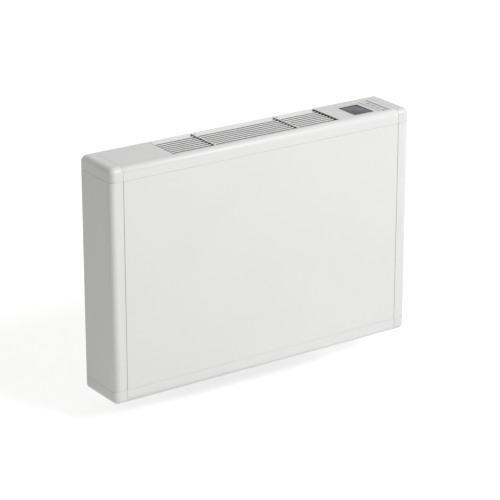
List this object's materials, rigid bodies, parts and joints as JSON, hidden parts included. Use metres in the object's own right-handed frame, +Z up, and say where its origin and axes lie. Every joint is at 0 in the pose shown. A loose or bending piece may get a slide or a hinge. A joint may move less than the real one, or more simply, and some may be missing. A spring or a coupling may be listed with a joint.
{
  "type": "fan convector",
  "caption": "Slim wall-hung fan convector: bordered white casing with a louvred top outlet, control pocket, cross-flow fan and hot-water coil.",
  "frame": {"origin": "middle of the footprint, on the underside of the casing", "axes": "+X to the right along the front, +Y from the front to the wall, +Z up"},
  "size_m": [0.8, 0.12, 0.544],
  "materials": {
    "casing_paint": "smooth satin white powder coat",
    "cap_plastic": "satin white moulding",
    "bezel_plastic": "cool white moulding",
    "button_plastic": "pale grey moulding",
    "display": "dark grey unlit display",
    "grille": "satin white",
    "zinc_sheet": "galvanised sheet",
    "fasteners": "zinc plated",
    "black_plastic": "moulded black",
    "motor_case": "dark grey paint",
    "bearing_bronze": "sintered bronze",
    "fins": "bright fin stock",
    "copper_tube": "bare copper",
    "brass_fitting": "bare brass",
    "lever_red": "red dipped lever",
    "lever_blue": "blue dipped lever",
    "circuit_board": "green solder mask",
    "terminal_plastic": "off-white moulding",
    "ribbon": "pale ribbon cable",
    "filter_net": "fine dark grey net"
  },
  "bodies": {
    "casing": {"panel_catches": "black_plastic", "left_side_panel": "casing_paint", "right_side_panel": "casing_paint", "top_rail": "casing_paint", "bottom_rail": "casing_paint", "corner_cap_top_left": "cap_plastic", "corner_cap_top_right": "cap_plastic", "corner_cap_bottom_left": "cap_plastic", "corner_cap_bottom_right": "cap_plastic", "outlet_grille": "grille", "grille_combs": "black_plastic", "back_plate": "zinc_sheet", "casing_rivets": "fasteners", "frame_screws": "fasteners", "control_bezel": "bezel_plastic", "display_frame": "black_plastic", "display_window": "display", "display_module": "black_plastic", "button_board": "circuit_board", "display_ribbon": "ribbon", "left_bulkhead": "zinc_sheet", "right_bulkhead": "zinc_sheet", "front_duct_plate": "zinc_sheet", "rear_duct_plate": "zinc_sheet", "fan_scroll": "zinc_sheet", "fan_tongue": "zinc_sheet", "fan_bearing": "bearing_bronze", "motor_body": "motor_case", "motor_bracket": "zinc_sheet", "coil_fins": "fins", "coil_tubes": "copper_tube", "coil_end_left": "zinc_sheet", "coil_end_right": "zinc_sheet", "flow_pipe": "copper_tube", "return_pipe": "copper_tube", "flow_valve": "brass_fitting", "return_valve": "brass_fitting", "air_vent": "brass_fitting", "control_box": "black_plastic", "control_box_lid": "black_plastic", "main_board": "circuit_board", "terminal_block": "terminal_plastic", "cable_gland": "black_plastic", "temperature_sensor": "black_plastic"},
    "panel": {"front_panel": "casing_paint", "panel_stiffeners": "zinc_sheet", "panel_studs": "fasteners"},
    "filter": {"filter_frame": "black_plastic", "filter_mesh": "filter_net"},
    "fan": {"fan_impeller": "black_plastic", "fan_stub": "fasteners", "motor_shaft": "fasteners"},
    "first_button": {"button_first": "button_plastic"},
    "second_button": {"button_second": "button_plastic"},
    "third_button": {"button_third": "button_plastic"},
    "fourth_button": {"button_fourth": "button_plastic"},
    "flow_handle": {"flow_lever": "lever_red"},
    "return_handle": {"return_lever": "lever_blue"},
    "bleed_screw": {"vent_screw": "brass_fitting"}
  },
  "joints": [
    {"name": "panel_pull", "type": "slide", "parent": "casing", "child": "panel", "axis": [0, -1, 0], "range_m": [0, 0.06]},
    {"name": "filter_drop", "type": "slide", "parent": "casing", "child": "filter", "axis": [0, 0, -1], "range_m": [0, 0.05]},
    {"name": "fan_spin", "type": "hinge", "parent": "casing", "child": "fan", "pos_m": [0, 0, 0.084], "axis": [1, 0, 0], "continuous": true},
    {"name": "first_press", "type": "slide", "parent": "casing", "child": "first_button", "axis": [0, 0, -1], "range_m": [0, 0.0006], "stiffness_N_per_m": 1000},
    {"name": "second_press", "type": "slide", "parent": "casing", "child": "second_button", "axis": [0, 0, -1], "range_m": [0, 0.0006], "stiffness_N_per_m": 1000},
    {"name": "third_press", "type": "slide", "parent": "casing", "child": "third_button", "axis": [0, 0, -1], "range_m": [0, 0.0006], "stiffness_N_per_m": 1000},
    {"name": "fourth_press", "type": "slide", "parent": "casing", "child": "fourth_button", "axis": [0, 0, -1], "range_m": [0, 0.0006], "stiffness_N_per_m": 1000},
    {"name": "flow_turn", "type": "hinge", "parent": "casing", "child": "flow_handle", "pos_m": [-0.2682, 0.01, 0.101], "axis": [0, 1, 0], "range_deg": [0, 90]},
    {"name": "return_turn", "type": "hinge", "parent": "casing", "child": "return_handle", "pos_m": [-0.3102, 0.01, 0.101], "axis": [0, 1, 0], "range_deg": [0, 90]},
    {"name": "bleed_turn", "type": "hinge", "parent": "casing", "child": "bleed_screw", "pos_m": [-0.2892, 0.01, 0.298], "axis": [0, 1, 0], "range_deg": [0, 180]}
  ]
}
